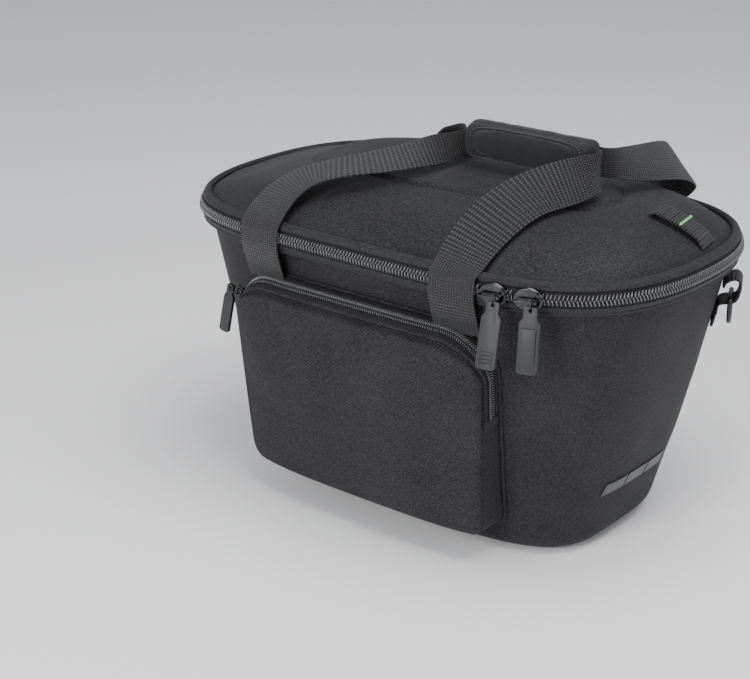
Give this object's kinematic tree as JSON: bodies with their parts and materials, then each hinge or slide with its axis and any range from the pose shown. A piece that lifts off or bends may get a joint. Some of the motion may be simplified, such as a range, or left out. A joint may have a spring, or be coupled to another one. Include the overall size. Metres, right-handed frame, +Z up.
{
  "type": "shopper pannier",
  "caption": "Tapered basket bag for a bicycle's rear rack, with a zipped crowned lid, a front pocket, webbing handles with a padded grip, and rings for a shoulder strap.",
  "frame": {"origin": "middle of the flat base, on the surface that the bag stands on", "axes": "+Z up; +X along the bag towards the rear of the bicycle; -Y towards the side with the pocket"},
  "size_m": [0.434, 0.3057, 0.3009],
  "materials": {
    "bag_fabric": "matt black coated twill, fine weave",
    "lid_fabric": "matt black fine twill over foam",
    "zip_tape": "black woven tape, slightly shiny edge",
    "zip_coil": "black nylon coil",
    "webbing": "black ribbed webbing",
    "grip_padding": "black knitted neoprene",
    "slider_metal": "dark nickel plate, bright at edges",
    "pull_rubber": "dark grey moulded rubber",
    "ring_plastic": "black moulded plastic",
    "reflective": "grey reflective film"
  },
  "bodies": {
    "bag": {"bag_body": "bag_fabric", "lid": "lid_fabric", "zip_lower_tape": "zip_tape", "zip_coil": "zip_coil", "zip_upper_tape": "zip_tape", "pocket": "bag_fabric", "pocket_zip": "zip_coil", "handle_near": "webbing", "handle_far": "webbing", "grip": "grip_padding", "slider_1": "slider_metal", "slider_1_bridge": "slider_metal", "slider_2": "slider_metal", "slider_2_bridge": "slider_metal", "pocket_slider": "slider_metal", "pocket_slider_bridge": "slider_metal", "pocket_pull": "pull_rubber", "pocket_pull_link": "slider_metal", "strap_ring_rear_tab": "webbing", "strap_ring_front_tab": "webbing", "light_loop": "webbing", "reflector_1": "reflective", "reflector_2": "reflective", "reflector_3": "reflective"},
    "first_pull": {"pull_1": "pull_rubber", "pull_1_link": "slider_metal"},
    "second_pull": {"pull_2": "pull_rubber", "pull_2_link": "slider_metal"},
    "rear_ring": {"strap_ring_rear": "ring_plastic"},
    "front_ring": {"strap_ring_front": "ring_plastic"}
  },
  "joints": [
    {"name": "first_pull_swing", "type": "hinge", "parent": "bag", "child": "first_pull", "pos_m": [0.12916, -0.13829, 0.223], "axis": [-0.9865, -0.1637, 0], "range_deg": [0, 150]},
    {"name": "second_pull_swing", "type": "hinge", "parent": "bag", "child": "second_pull", "pos_m": [0.15466, -0.13129, 0.223], "axis": [-0.948, -0.3183, 0], "range_deg": [0, 150]},
    {"name": "rear_ring_swing", "type": "hinge", "parent": "bag", "child": "rear_ring", "pos_m": [0.19749, 0.07286, 0.1834], "axis": [0.4361, -0.8999, 0], "range_deg": [-10, 120]},
    {"name": "front_ring_swing", "type": "hinge", "parent": "bag", "child": "front_ring", "pos_m": [-0.19749, 0.07286, 0.1834], "axis": [0.4361, 0.8999, 0], "range_deg": [-10, 120]}
  ]
}
